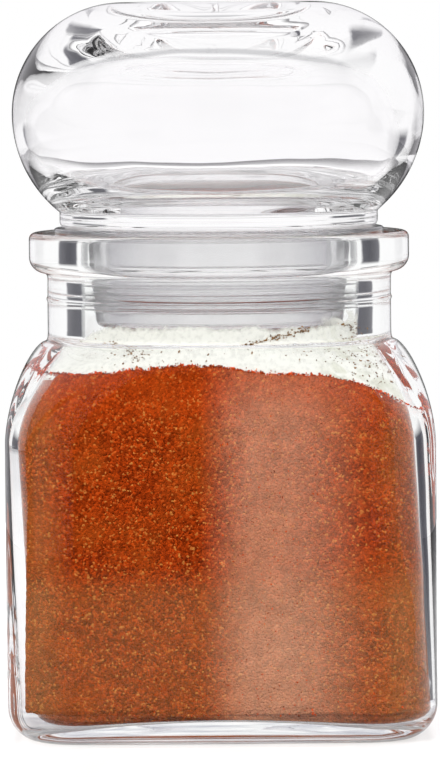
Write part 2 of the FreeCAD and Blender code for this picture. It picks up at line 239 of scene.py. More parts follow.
def arc(low, high, circle, steps):
    """Points of a profile from one angle to another, in degrees, on (radius, level, size)."""
    middle, level, size = circle
    angles = np.radians(np.linspace(low, high, steps + 1))
    return [(middle + size * math.cos(angle), level + size * math.sin(angle)) for angle in angles]


def shallow(run, rise):
    """Radius of the arc that moves aside by run over a rise, and its angle in degrees."""
    size = (run * run + rise * rise) / (2 * run)
    return size, math.degrees(math.asin(rise / size))


def along(points, spacing):
    """A profile resampled so that no step is longer than the spacing, corners kept."""
    found = [points[0]]
    for before, after in zip(points, points[1:]):
        gap = math.dist(before, after)
        if gap < 1e-7:
            continue
        steps = max(1, math.ceil(gap / spacing))
        for step in range(1, steps + 1):
            share = step / steps
            found.append((before[0] + (after[0] - before[0]) * share,
                          before[1] + (after[1] - before[1]) * share))
    return found


def ease(share):
    """Nought to one with soft ends."""
    share = np.clip(share, 0.0, 1.0)
    return share * share * (3 - 2 * share)


# The inside of the jar, which the glass and the spice both follow.
BODY_TOP = 41.0 * MM
NECK_LEVEL = 54.3 * MM
BEAD_LEVEL = 64.0 * MM
SHOULDER_STEP = 0.6 * MM
FLOOR_EDGE = 2.2 * MM
LEAN_LOW = 1.1 * MM
LEAN_HIGH = -0.45 * MM
FLOOR_RISE = 3.0 * MM
FLOOR_REACH = 34.0 * MM
RISE_POWER = 1.7
RUN_POWER = 0.72
SHOULDER_STEPS = 30


def shoulder(level, half, corner, bow, end):
    """Half width, corner, bow and share of the run left, at levels up the shoulder."""
    end = end + SHOULDER_STEP
    share = np.clip((level - BODY_TOP) / (NECK_LEVEL - BODY_TOP), 0.0, 1.0)
    run = (1 - share ** RISE_POWER) ** RUN_POWER
    reach = end + (half - end) * run
    rounding = 1 - run
    corners = corner + (end * 0.976 - corner) * rounding
    bows = bow + (end * 0.004 - bow) * rounding
    return reach, corners, bows, run


def shoulder_levels():
    """Levels up the shoulder, closer together where it turns most."""
    run = np.cos(np.linspace(0, math.pi / 2, SHOULDER_STEPS + 1))
    return BODY_TOP + (NECK_LEVEL - BODY_TOP) * (1 - run ** (1 / RUN_POWER)) ** (1 / RISE_POWER)


def inside_at(level, jar, gap=0.0):
    """Outline of the jar's inside at any level above the floor's edge."""
    half = jar.half_width - jar.wall - gap
    corner = jar.corner - jar.wall - gap
    reach, corners, bows, run = shoulder(level, half, corner, jar.bow, jar.bore - gap)
    base = jar.floor + FLOOR_EDGE
    share = np.clip((level - base) / (BODY_TOP - base), 0.0, 1.0)
    shift = (LEAN_LOW + (LEAN_HIGH - LEAN_LOW) * share) * run
    return reach, corners, bows, shift


def inside_ring(turn, level, jar, gap=0.0):
    """Points of the jar's inside at a level."""
    reach, corners, bows, shift = inside_at(level, jar, gap)
    return ring(turn, level, reach, corners, bows, shift)


def floor_rise(across, along_depth):
    """How far the domed floor stands over its corners."""
    big = (FLOOR_REACH ** 2 + FLOOR_RISE ** 2) / (2 * FLOOR_RISE)
    away = np.minimum(across ** 2 + along_depth ** 2, FLOOR_REACH ** 2)
    return FLOOR_RISE - big + np.sqrt(big ** 2 - away)


def soft_max(first, second, blend):
    """The larger of two, with a soft turn where they cross."""
    mix = np.clip(0.5 + 0.5 * (first - second) / blend, 0.0, 1.0)
    return second + (first - second) * mix + blend * mix * (1 - mix)


def inside_floor_rings(turn, jar, steps_edge, steps_floor):
    """Rings from the top of the floor's edge inwards to the middle of the domed floor."""
    half, corner = jar.half_width - jar.wall, jar.corner - jar.wall
    rings = []
    for step in range(steps_edge + 1):
        angle = math.pi / 2 * (1 - step / steps_edge)
        inset = FLOOR_EDGE * (1 - math.sin(angle))
        level = jar.floor + FLOOR_EDGE * (1 - math.cos(angle))
        rings.append(ring(turn, level, half - inset, corner - inset, jar.bow, LEAN_LOW))
    edge = rings[-1].copy()
    for step in range(1, steps_floor + 1):
        share = 1 - step / (steps_floor + 1)
        inner = edge.copy()
        inner[:, 0] = LEAN_LOW + (edge[:, 0] - LEAN_LOW) * share
        inner[:, 1] = edge[:, 1] * share
        rings.append(inner)
    for each in rings:
        dome = jar.floor + floor_rise(each[:, 0], each[:, 1])
        each[:, 2] = soft_max(each[:, 2], dome, 0.5 * MM)
    return rings, [LEAN_LOW, 0.0, jar.floor + FLOOR_RISE]


def wall_lumps(points):
    """The slow unevenness of pressed glass."""
    return soft_noise(points, 13 * MM, 3) + 0.5 * soft_noise(points, 6 * MM, 4)


def swollen(points, outward):
    """Points moved away from the axis, less and less near it."""
    size = np.linalg.norm(points[:, :2], axis=1)
    outward = outward * np.clip(size / (10 * MM), 0, 1)
    moved = points.copy()
    moved[:, :2] *= (1 + outward / np.maximum(size, 1e-6))[:, None]
    return moved


def inner_swell(points):
    """Points moved to the uneven inside of the glass, even again towards the neck."""
    even = ease((NECK_LEVEL - points[:, 2]) / (3 * MM))
    return swollen(points, 0.10 * MM * wall_lumps(points) * even)


def outer_swell(points):
    """Points moved in to the outside of the glass, which is nearly even, most of all the bead."""
    depth = 0.045 * MM * (0.25 if np.all(points[:, 2] > BEAD_LEVEL) else 1.0)
    return swollen(points, (np.minimum(wall_lumps(points), 0.0) - 0.1) * depth)


PUNT_INSET = 4.0 * MM
PUNT_DEPTH = 0.8 * MM
BEAD_LOW_EDGE = 2.2 * MM
BEAD_TOP_EDGE = 0.9 * MM
MOUTH_EDGE = 0.8 * MM


def base_rings(turn, jar):
    """Underside from its shallow hollow over the bearing ring and up the heel."""
    punt = jar.half_width - jar.heel - PUNT_INSET
    big = (punt ** 2 + PUNT_DEPTH ** 2) / (2 * PUNT_DEPTH)
    rings = []
    for step in range(1, 13):
        radius = punt * step / 12
        level = PUNT_DEPTH - big + math.sqrt(big ** 2 - radius ** 2)
        rings.append(round_ring(turn, level, radius))
    start = round_ring(turn, 0.0, punt)
    edge = ring(turn, 0.0, jar.half_width - jar.heel, jar.corner - jar.heel, jar.bow)
    rings += [start + (edge - start) * step / 4 for step in range(1, 4)]
    for step in range(15):
        angle = math.pi / 2 * step / 14
        inset = jar.heel * (1 - math.sin(angle))
        level = jar.heel * (1 - math.cos(angle))
        rings.append(ring(turn, level, jar.half_width - inset, jar.corner - inset, jar.bow))
    return rings


def neck_profile(jar):
    """Neck with the mould's parting line, the rim bead, the mouth and the bore."""
    # Millimetres: first what stands out from the neck, later what stands out from the bore.
    profile = [(jar.neck + extra * MM, level * MM) for extra, level in (
        (0.22, 54.45), (0.05, 54.9), (0, 55.5), (0, 59.9), (0.10, 60.15), (0.16, 60.3),
        (0.10, 60.45), (0, 60.7), (0, 63.2), (0.12, 63.7), (0.4, 64.0))]
    profile += arc(-88, 0, (jar.bead - BEAD_LOW_EDGE, BEAD_LEVEL + BEAD_LOW_EDGE,
                            BEAD_LOW_EDGE), 10)
    profile += arc(0, 90, (jar.bead - BEAD_TOP_EDGE, jar.height - BEAD_TOP_EDGE,
                           BEAD_TOP_EDGE), 8)
    profile += arc(90, 180, (jar.bore + MOUTH_EDGE, jar.height - MOUTH_EDGE, MOUTH_EDGE), 8)
    profile += [(jar.bore + extra * MM, level * MM) for extra, level in (
        (0, 60.0), (0, 55.4), (0.08, 54.9), (0.3, 54.5))]
    return along(profile, 0.9 * MM)


def make_jar_glass(jar):
    """The jar's glass in one skin, from under the base over the mouth to the domed floor."""
    turn = turns(384, 0.45)
    outside = base_rings(turn, jar)
    for level in np.linspace(jar.heel, BODY_TOP, 30)[1:-1]:
        outside.append(ring(turn, level, jar.half_width, jar.corner, jar.bow))
    for level in shoulder_levels():
        reach, corners, bows, _ = shoulder(level, jar.half_width, jar.corner, jar.bow, jar.neck)
        outside.append(ring(turn, level, reach, corners, bows))
    outside += [round_ring(turn, level, radius) for radius, level in neck_profile(jar)]
    walls = np.linspace(BODY_TOP, jar.floor + FLOOR_EDGE, 34)[1:-1]
    inside = [inside_ring(turn, level, jar)
              for level in np.concatenate([shoulder_levels()[::-1], walls])]
    floor_rings, middle = inside_floor_rings(turn, jar, 12, 16)
    rings = [outer_swell(each) for each in outside]
    rings += [inner_swell(each) for each in inside + floor_rings]
    return make_object("jar_glass", [lattice(rings, [0, 0, PUNT_DEPTH], middle)])


ROUND_COUNT = 256


def lathe(profile, warp):
    """A turned and then slightly warped shape from (radius, level) points, axis to axis."""
    turn = turns(ROUND_COUNT, 0)
    fine = along(profile, 0.7 * MM)
    rings = [warp(round_ring(turn, level, radius)) for radius, level in fine[1:-1]]
    return lattice(rings, [0, 0, fine[0][1]], [0, 0, fine[-1][1]])


LID_LIFT = 0.02 * MM


def make_lid_glass(lid):
    """The stopper: stem, foot ring and flattened ball round its bubble."""
    foot = SEAL_HIGH[2] + LID_LIFT
    stem_end = LID_LOW[2] + LID_LIFT
    foot_radius, foot_edge, stem_edge = 22.3 * MM, 0.9 * MM, 1.2 * MM
    equator = SEAL_HIGH[2] + 16 * MM
    flare = SEAL_HIGH[2] + 2.2 * MM
    crown = lid.top - equator
    brim = lid.radius - crown
    depth = 0.9 * MM
    outside = [(0.0, stem_end), (lid.stem - stem_edge, stem_end)]
    outside += arc(-90, 0, (lid.stem - stem_edge, stem_end + stem_edge, stem_edge), 8)
    outside += [(lid.stem, foot - 0.5 * MM), (lid.stem + 0.15 * MM, foot - 0.12 * MM),
                (lid.stem + 0.5 * MM, foot)]
    outside += arc(-90, 0, (foot_radius - foot_edge, foot + foot_edge, foot_edge), 8)
    outside += [(foot_radius, flare - 0.35 * MM)]
    big, span = shallow(lid.radius - foot_radius, equator - flare)
    outside += arc(-span, 0, (lid.radius - big, equator, big), 24)
    outside += arc(0, 86, (brim, equator, crown), 40)
    # The shallow hollow in the top, from its brim to the axis.
    sink = (brim ** 2 + depth ** 2) / (2 * depth)
    for step in range(14):
        radius = brim * (1 - step / 14) * 0.985
        outside.append((radius, lid.top - depth + sink - math.sqrt(sink ** 2 - radius ** 2)
                        - 0.03 * MM))
    outside += [(0.0, lid.top - depth)]
    # The bubble, from the axis under the top, round its widest part, to the axis on its floor.
    bubble_equator = equator - 1.5 * MM
    bubble_floor = foot + 5.0 * MM
    widest = lid.radius - 2.4 * MM
    inset = 6.0 * MM
    ceiling = lid.top - depth - 4.6 * MM
    high = ceiling - 0.5 * MM - bubble_equator
    bubble = [(radius * MM, ceiling - drop * MM) for radius, drop in (
        (0, 0), (6, 0.1), (12, 0.32), (13, 0.62), (14, 0.45))]
    bubble += arc(88, 0, (widest - high, bubble_equator, high), 32)
    big, span = shallow(inset, bubble_equator - bubble_floor)
    down = arc(0, -span, (widest - big, bubble_equator, big), 24)
    bubble += down[:-2]
    last = down[-3]
    bubble += [(last[0] - 0.9 * MM, bubble_floor + 0.35 * MM),
               (last[0] - 2.0 * MM, bubble_floor + 0.08 * MM), (8 * MM, bubble_floor),
               (0.0, bubble_floor)]

    def uneven(each):
        """The bubble, blown unevenly and a little to the left."""
        out = each.copy()
        share = ease((each[:, 2] - bubble_floor) / (ceiling - bubble_floor))
        size = np.hypot(each[:, 0], each[:, 1])
        right = np.clip(each[:, 0] / size, 0, 1)
        lump = soft_noise(each, 11 * MM, 8) * 0.22 * MM + soft_noise(each, 5 * MM, 9) * 0.05 * MM
        grow = 1 + lump / np.maximum(size, 4 * MM)
        out[:, 0] = each[:, 0] * grow - 0.30 * MM - right * 0.5 * MM * (0.4 + 0.6 * share)
        out[:, 1] = each[:, 1] * grow
        out[:, 2] += soft_noise(each, 9 * MM, 10) * 0.12 * MM
        return out

    def slight(each):
        """The outside of the ball, which never grows."""
        out = each.copy()
        size = np.hypot(each[:, 0], each[:, 1])
        lump = soft_noise(each, 12 * MM, 12) - 1.0
        grow = 1 + np.where(each[:, 2] > flare, lump * 0.035 * MM, 0) / np.maximum(size, 6 * MM)
        out[:, :2] *= grow[:, None]
        return out

    return make_object("lid_glass", [lathe(outside, slight), lathe(bubble, uneven)])


def make_seal(seal):
    """The seal: flange on the mouth, and a tapered sleeve with three ribs down the bore."""
    inner = 15.95 * MM
    mouth = JAR_HIGH[2] + 0.02 * MM
    top = SEAL_HIGH[2] - 0.02 * MM
    end, end_radius, edge = SEAL_LOW[2], 17.4 * MM, 1.1 * MM
    top_radius = 18.5 * MM
    rim = (top - mouth) / 2
    outer = arc(-90, 0, (end_radius - edge, end + edge, edge), 8)
    slope = (top_radius - end_radius) / (mouth - end - edge)
    rib_radius, rib_depth, rib_spacing = 19.3 * MM, 6.9 * MM, 1.55 * MM
    for index in (2, 1, 0):
        level = JAR_HIGH[2] - rib_depth - rib_spacing * index
        wall = end_radius + slope * (level - end - edge)
        crest = rib_radius - 0.08 * MM
        outer += [(wall, level - 0.33 * MM), (crest, level - 0.12 * MM), (rib_radius, level),
                  (crest, level + 0.12 * MM), (wall, level + 0.33 * MM)]
    outer += [(top_radius - 0.05 * MM, mouth - 0.5 * MM), (top_radius + 0.3 * MM, mouth)]
    outer += arc(-90, 90, (seal.flange - rim, mouth + rim, rim), 8)
    outer += [(inner + 0.3 * MM, top), (inner, top - 0.3 * MM), (inner, end + 0.25 * MM),
              (inner + 0.25 * MM, end)]
    turn = turns(ROUND_COUNT, 0)
    profile = along(outer + [outer[0]], 0.6 * MM)[:-1]
    return make_object("seal_plastic", [closed_band(
        [round_ring(turn, level, radius) for radius, level in profile])])


# ---------------------------------------------------------------- spice


def heap_level(across, along_depth):
    """Level of the heap over a place in the jar: crown, mound in front, fall to the right."""
    a, b = across / (30 * MM), along_depth / (30 * MM)
    crown = 3.5 * np.maximum(0.0, 1 - 0.3 * a ** 2 - 0.12 * b ** 2)
    mound = 1.3 * np.exp(-(((a + 0.15) / 0.2) ** 2 + ((b + 0.6) / 0.6) ** 2) / 2)
    fall = 4.9 * np.maximum(0.0, (a - 0.35) / 0.52) ** 2.2
    lump = 0.3 * np.sin(5.1 * a + 1.3) * np.sin(4.3 * b + 0.4)
    return (47.0 + crown + mound - fall + lump) * MM


def wall_top(turn, jar, gap=0.0):
    """Where the heap meets the inside of the glass."""
    level = np.full(turn.shape, 46 * MM)
    for _ in range(6):
        edge = inside_ring(turn, level, jar, gap)
        level = heap_level(edge[:, 0], edge[:, 1])
    return inside_ring(turn, level, jar, gap)


def ragged(points):
    """How much the grains break up the heap's edge against the glass."""
    return (soft_noise(points, 0.8 * MM, 31) * 0.16 + soft_noise(points, 2.4 * MM, 32) * 0.16) * MM


WALL_ROWS = 100
HEAP_ROWS = 58
GRAIN_CLEAR = 0.09 * MM
GRAIN_PRESS = 0.14 * MM


def core_rings(turn, jar):
    """Even rings of the filling from the floor up the wall and over the heap, and its floor."""
    floor_rings, middle = inside_floor_rings(turn, jar, 8, 12)
    rings = floor_rings[::-1]
    base = floor_rings[0][:, 2]
    top = wall_top(turn, jar)
    top[:, 2] += ragged(top)
    for row in range(1, WALL_ROWS + 1):
        rings.append(inside_ring(turn, base + (top[:, 2] - base) * row / WALL_ROWS, jar))
    rings = [inner_swell(each) for each in rings]
    edge = rings[-1]
    for step in range(1, HEAP_ROWS):
        inner = edge * (1 - step / HEAP_ROWS) ** 0.94
        inner[:, 2] = heap_level(inner[:, 0], inner[:, 1]) + ragged(edge) * ease(1 - step / 3)
        rings.append(inner)
    return np.array(rings), len(floor_rings), middle


CONTACT_ANGLE = 41.5
CONTACT_FADE = 1.5
CONTACT_LOW = 3.6
CONTACT_RISE = 1.4


def touching_share(points, jar):
    """One where grains press on the glass, before and behind, and nought where they stay clear."""
    # Angles in degrees from straight before or behind, levels in millimetres. In front the
    # contact goes further round by the left corner, and by the right one near a level of 17.
    share = np.clip((points[:, 2] - jar.floor - FLOOR_EDGE) / (BODY_TOP - jar.floor), 0, 1)
    lean = LEAN_LOW + (LEAN_HIGH - LEAN_LOW) * share
    away = np.degrees(np.arctan2(np.abs(points[:, 0] - lean), np.abs(points[:, 1])))
    level = points[:, 2] / MM
    right = 3.6 * (np.exp(-((level - 17) / 8) ** 2) - 0.5 * ease((12 - level) / 8))
    left = 4.6 + 3.9 * np.clip((34 - level) / 29, 0, 1)
    further = np.where(points[:, 1] > 0, 0.0, np.where(points[:, 0] < 0, left, right))
    limit = CONTACT_ANGLE + further
    return (1 - ease((away - limit) / CONTACT_FADE)) * ease((level - CONTACT_LOW) / CONTACT_RISE)


def make_spice_core(spice, jar):
    """The whole filling as one surface of grains."""
    turn = turns(448, 0.12)
    rings, floor_count, middle = core_rings(turn, jar)
    # Outward directions, so that grains stand out of the surface they belong to.
    around = np.roll(rings, -1, axis=1) - np.roll(rings, 1, axis=1)
    outward = np.cross(around, np.gradient(rings, axis=0))
    outward /= np.maximum(np.linalg.norm(outward, axis=2, keepdims=True), 1e-12)
    flat = rings.reshape(-1, 3)
    row = np.repeat(np.arange(len(rings)), len(turn))
    close = (soft_noise(flat, 0.55 * MM, 21) * 0.55 + soft_noise(flat, 1.1 * MM, 22) * 0.35
             + soft_noise(flat, 3.0 * MM, 23) * 0.2)
    wide = soft_noise(flat, 7 * MM, 24) * 0.5 + soft_noise(flat, 2.6 * MM, 25) * 0.5
    touching = touching_share(flat, jar) * (row >= floor_count - 4)
    depth = np.where(row >= floor_count + WALL_ROWS, close * 0.20 * MM + wide * 0.22 * MM,
                     close * spice.relief + GRAIN_PRESS * touching - GRAIN_CLEAR)
    moved = flat + outward.reshape(-1, 3) * depth[:, None]
    moved[:, 2] = np.minimum(moved[:, 2], SPICE_HIGH[2] + 0.4 * MM)
    peak = [0.0, 0.0, heap_level(0.0, 0.0)]
    return make_object("spice_core", [lattice(moved.reshape(rings.shape), middle, peak)])


def grain_shape(random, flatness):
    """A small crumb: an octahedron with its corners pushed about."""
    points = np.array([[1, 0, 0], [-1, 0, 0], [0, 1, 0], [0, -1, 0], [0, 0, 1], [0, 0, -1.0]])
    points = points * random.uniform(0.6, 1.15, (6, 1)) + random.uniform(-0.22, 0.22, (6, 3))
    points[:, 2] *= flatness
    return points


GRAIN_FACES = np.array([[0, 2, 4], [2, 1, 4], [1, 3, 4], [3, 0, 4],
                        [2, 0, 5], [1, 2, 5], [3, 1, 5], [0, 3, 5]])


def random_turns(random, count):
    """Rotation matrices spread evenly over all directions."""
    q = random.normal(size=(count, 4))
    q /= np.linalg.norm(q, axis=1)[:, None]
    w, x, y, z = q.T
    return np.stack([
        np.stack([1 - 2 * (y * y + z * z), 2 * (x * y - z * w), 2 * (x * z + y * w)], 1),
        np.stack([2 * (x * y + z * w), 1 - 2 * (x * x + z * z), 2 * (y * z - x * w)], 1),
        np.stack([2 * (x * z - y * w), 2 * (y * z + x * w), 1 - 2 * (x * x + y * y)], 1)], 1)


CRUMB_SHAPES = 24


def scatter(name, places, widths, stretch, flatness, seed):
    """One mesh of many crumbs at their places."""
    random = np.random.default_rng(seed)
    count = len(places)
    kinds = np.array([grain_shape(random, flatness) for _ in range(CRUMB_SHAPES)])
    shapes = kinds[random.integers(0, CRUMB_SHAPES, count)]
    shapes = shapes * np.stack([stretch, np.ones(count), np.ones(count)], axis=1)[:, None, :]
    spun = np.einsum("nij,nkj->nki", random_turns(random, count), shapes)
    points = (places[:, None, :] + spun * (widths / 2)[:, None, None]).reshape(-1, 3)
    loops = (np.arange(count)[:, None, None] * 6 + GRAIN_FACES).reshape(-1)
    sizes = np.full(count * len(GRAIN_FACES), 3)
    return make_object(name, [(points, loops, sizes)], smooth=False)


def heap_places(random, count, jar, margin):
    """Places spread over the heap's top."""
    found = []
    while len(found) < count:
        across, deep = random.uniform(-28 * MM, 28 * MM, 2)
        level = heap_level(across, deep)
        reach, corner, bow, shift = inside_at(level, jar, margin)
        turned = math.atan2(deep, across - shift)
        limit = outline_reach(np.array([turned]), reach, corner, bow)[0]
        if math.hypot(across - shift, deep) < limit:
            found.append((across, deep, level))
    return np.array(found)


def wall_places(random, count, jar, inward):
    """Places just behind the front and back glass, between the floor's edge and the heap."""
    turned = random.uniform(0, 2 * math.pi, count)
    turned = turned[np.abs(np.sin(turned)) > math.sin(math.radians(48))]
    top = wall_top(turned, jar)[:, 2]
    base = jar.floor + FLOOR_EDGE * 0.8
    level = base + (top - base) * random.uniform(0.0, 1.0, len(turned))
    return inner_swell(inside_ring(turned, level, jar, inward))


def inside_wall(turn, level, jar, gap):
    """Points of the inside wall at any level, neck included."""
    level = np.broadcast_to(level, turn.shape)
    reach, corners, bows, shift = inside_at(level, jar, gap)
    square = outline_reach(turn, reach, corners, bows)
    blend = ease((level - NECK_LEVEL) / (0.9 * MM))
    radius = square * (1 - blend) + (jar.bore - gap) * blend
    return inner_swell(np.stack([shift + radius * np.cos(turn), radius * np.sin(turn), level],
                                axis=1))


FILM_TOP = 59.4 * MM
FILM_ROWS = 28


def make_film(jar):
    """A thin closed skin against the inside of the glass, from the heap up to the neck."""
    turn = turns(360, 0.3)
    low = wall_top(turn, jar)[:, 2] - 0.7 * MM
    up = [low + (FILM_TOP - low) * row / FILM_ROWS for row in range(FILM_ROWS + 1)]
    skin = [inside_wall(turn, level, jar, 0.13 * MM) for level in up]
    skin += [inside_wall(turn, level, jar, 0.20 * MM) for level in reversed(up)]
    return make_object("dust_film", [closed_band(skin)])


FRONT = -math.pi / 2
FRONT_REACH = 1.2


def behind_glass(across, level, jar, inward):
    """Places just behind the front of the glass, from how far right and how high they are."""
    found = []
    for x, z in zip(across, level):
        low, high = FRONT - FRONT_REACH, FRONT + FRONT_REACH
        for _ in range(22):
            turn = (low + high) / 2
            at = inside_wall(np.array([turn]), z, jar, inward)[0]
            if at[0] < x:
                low = turn
            else:
                high = turn
        found.append(at)
    return np.array(found)


def clusters(random, spots):
    """Places about the middles of spots: (right, up, spread right, spread up, tilt, count)."""
    across, level = [], []
    for right, up, wide, tall, tilt, count in spots:
        a, b = random.normal(size=(2, count))
        across.append(right * MM + a * wide * MM)
        level.append(up * MM + b * tall * MM + a * wide * MM * tilt)
    return np.concatenate(across), np.concatenate(level)


# ---------------------------------------------------------------- materials


def new_material(name, **values):
    """A material with one Principled shader, its sockets set by name."""
    material = bpy.data.materials.new(name)
    material.use_nodes = True
    tree = material.node_tree
    tree.nodes.clear()
    output = add(tree, "ShaderNodeOutputMaterial")
    shader = add(tree, "ShaderNodeBsdfPrincipled", **values)
    tree.links.new(shader.outputs[0], output.inputs[0])
    return material, tree, shader, output


def new_group(name, inputs, outputs):
    """A node group with number sockets, and its two end nodes."""
    group = bpy.data.node_groups.new(name, "ShaderNodeTree")
    for socket, value in inputs.items():
        group.interface.new_socket(socket, in_out="INPUT",
                                   socket_type="NodeSocketFloat").default_value = value
    for socket in outputs:
        group.interface.new_socket(socket, in_out="OUTPUT", socket_type="NodeSocketFloat")
    return group, add(group, "NodeGroupInput"), add(group, "NodeGroupOutput")


def place_group(tree, group, **values):
    """A shared group in a material, with this material's own values."""
    return wire(tree, add(tree, "ShaderNodeGroup", node_tree=group), **values)


def feed(tree, value, socket):
    """Give a socket a number, a colour or vector, or what another socket puts out."""
    if isinstance(value, (int, float)):
        socket.default_value = value
    elif isinstance(value, tuple):
        short = len(socket.default_value) > len(value)
        socket.default_value = (*value, 1) if short else value
    else:
        tree.links.new(value, socket)


def wire(tree, node, **values):
    """Feed a node's sockets, and set its choices, by name."""
    for name, value in values.items():
        socket = node.inputs.get(name.replace("_", " "))
        if socket is None:
            setattr(node, name, value)
        else:
            feed(tree, value, socket)
    return node


def add(tree, kind, **values):
    """A new node, wired by name."""
    return wire(tree, tree.nodes.new(kind), **values)


def ramp(tree, source, stops):
    """Colours, or greys given as numbers, along a source."""
    node = add(tree, "ShaderNodeValToRGB")
    elements = node.color_ramp.elements
    elements.remove(elements[-1])
    for index, (place, tone) in enumerate(stops):
        element = elements.new(place) if index else elements[0]
        element.position = place
        element.color = (*tone, 1) if isinstance(tone, tuple) else (tone, tone, tone, 1)
    tree.links.new(source, node.inputs[0])
    return node.outputs["Color"]


def math_node(tree, operation, *values):
    """A calculation on one or two numbers or sockets."""
    node = add(tree, "ShaderNodeMath", operation=operation)
    for value, socket in zip(values, node.inputs):
        feed(tree, value, socket)
    return node.outputs[0]


def product(tree, first, *others):
    """Numbers or sockets multiplied together."""
    for other in others:
        first = math_node(tree, "MULTIPLY", first, other)
    return first


def wavering(tree, value, noise_value, amount):
    """A value pushed up and down by a noise, by the amount in all."""
    centred = math_node(tree, "SUBTRACT", noise_value, 0.5)
    return math_node(tree, "ADD", value, product(tree, centred, amount))


def map_range(tree, source, low, high, to_low=0.0, to_high=1.0):
    """A soft step between two values."""
    node = add(tree, "ShaderNodeMapRange", interpolation_type="SMOOTHSTEP")
    for value, socket in zip((source, low, high, to_low, to_high), node.inputs):
        feed(tree, value, socket)
    return node.outputs[0]


def mix_colour(tree, factor, first, second, blend="MIX"):
    """Two colours or sockets blended."""
    node = add(tree, "ShaderNodeMix", data_type="RGBA", blend_type=blend)
    for index, value in ((0, factor), (6, first), (7, second)):
        feed(tree, value, node.inputs[index])
    return node.outputs[2]


def mix_shader(tree, factor, first, second):
    """Two shaders blended."""
    node = add(tree, "ShaderNodeMixShader")
    for value, socket in zip((factor, first, second), node.inputs):
        tree.links.new(value, socket)
    return node.outputs[0]


def place_of(tree, kind="Object"):
    """Coordinates as one vector and as their three parts."""
    where = add(tree, "ShaderNodeTexCoord").outputs[kind]
    return (where, *add(tree, "ShaderNodeSeparateXYZ", Vector=where).outputs)


def noise(tree, where, scale, **values):
    """Soft noise at a place."""
    return add(tree, "ShaderNodeTexNoise", Vector=where, Scale=scale, **values).outputs[0]


def relief(tree, height, strength, distance):
    """Bumps, for a shader's normals."""
    return add(tree, "ShaderNodeBump", Strength=strength, Distance=distance,
               Height=height).outputs[0]


def lightened(tone, more):
    """A colour with a little added, and none of it over one."""
    return tuple(min(1.0, c + more) for c in tone)


def scaled(tone, times):
    """A colour made lighter or darker, and none of it over one."""
    return tuple(min(1.0, c * times) for c in tone)


def swell_group():
    """Pressed glass: slow swells, a fine mask, and level streaks of painted shade in the base."""
    group, inside, outside = new_group("Glass swell", {"Size": 90.0},
                                       ("Height", "Mask", "Streak"))
    where, _, _, level = place_of(group)
    flat = add(group, "ShaderNodeMapping", Vector=where, Scale=(70.0, 70.0, 1500.0))
    streak = noise(group, flat.outputs[0], 1.0, Detail=3.0)
    slow = noise(group, where, inside.outputs["Size"], Detail=2.0, Roughness=0.4)
    low = map_range(group, level, 6.2 * MM, 3.5 * MM, 0.0, 0.06)
    base = map_range(group, level, 6.4 * MM, 4.8 * MM)
    wire(group, outside, Height=math_node(group, "ADD", slow, product(group, streak, low)),
         Mask=noise(group, where, 520.0, Detail=3.0),
         Streak=product(group, map_range(group, streak, 0.40, 0.62), base))
    return group


def glass_material(name, tint, streaks, swell_size):
    """Clear glass that lets lamp rays through to what it holds."""
    material, tree, shader, output = new_material(
        name, Transmission_Weight=1.0, IOR=1.5, Specular_Tint=(0.25, 0.25, 0.25))
    swell = place_group(tree, shared_groups()["swell"], Size=swell_size)
    mask = swell.outputs["Mask"]
    plain = mix_colour(tree, mask, tint, lightened(tint, 0.012))
    # The streak mask mixes the streaks colour into the base colour: grey painted shade low in the
    # thick base.
    wire(tree, shader, Roughness=product(tree, mask, 0.012),
         Base_Color=mix_colour(tree, swell.outputs["Streak"], plain, streaks),
         Normal=relief(tree, swell.outputs["Height"], 0.03, 0.002))
    clear = add(tree, "ShaderNodeBsdfTransparent", Color=(0.93, 0.935, 0.93))
    path = add(tree, "ShaderNodeLightPath").outputs
    through = math_node(tree, "MAXIMUM", path["Is Shadow Ray"], path["Is Diffuse Ray"])
    wire(tree, output, Surface=mix_shader(tree, through, shader.outputs[0], clear.outputs[0]))
    return material


def grain_group():
    """Ground spice: cells of mixed tones, and the height of each grain."""
    group, inside, outside = new_group("Ground grain", {"Scale": 2000.0, "Lumps": 330.0},
                                       ("Tone", "Height", "Patch", "Flake"))
    where = add(group, "ShaderNodeTexCoord").outputs["Object"]
    bend = add(group, "ShaderNodeTexNoise", Vector=where, Scale=1400.0, Detail=2.0)
    warp = add(group, "ShaderNodeVectorMath", operation="MULTIPLY_ADD")
    for value, socket in zip((bend.outputs["Color"], (0.35 * MM,) * 3, where), warp.inputs):
        feed(group, value, socket)
    tones = []
    for scale in (inside.outputs["Scale"], 1500.0):
        cells = add(group, "ShaderNodeTexVoronoi", Vector=warp.outputs[0], Scale=scale)
        split = add(group, "ShaderNodeSeparateColor", Color=cells.outputs["Color"])
        tones.append((split.outputs[0], cells.outputs["Distance"]))
    (tone, distance), (flake, flake_distance) = tones
    near = math_node(group, "LESS_THAN", flake_distance, 0.25)
    rare = math_node(group, "GREATER_THAN", flake, 0.95)
    wire(group, outside, Tone=tone, Height=math_node(group, "SUBTRACT", 1.0, distance),
         Patch=noise(group, where, inside.outputs["Lumps"], Detail=4.0, Roughness=0.65),
         Flake=product(group, near, rare))
    return group


def blend_tones(first, second, share):
    """A colour between two."""
    return tuple(a * (1 - share) + b * share for a, b in zip(first, second))


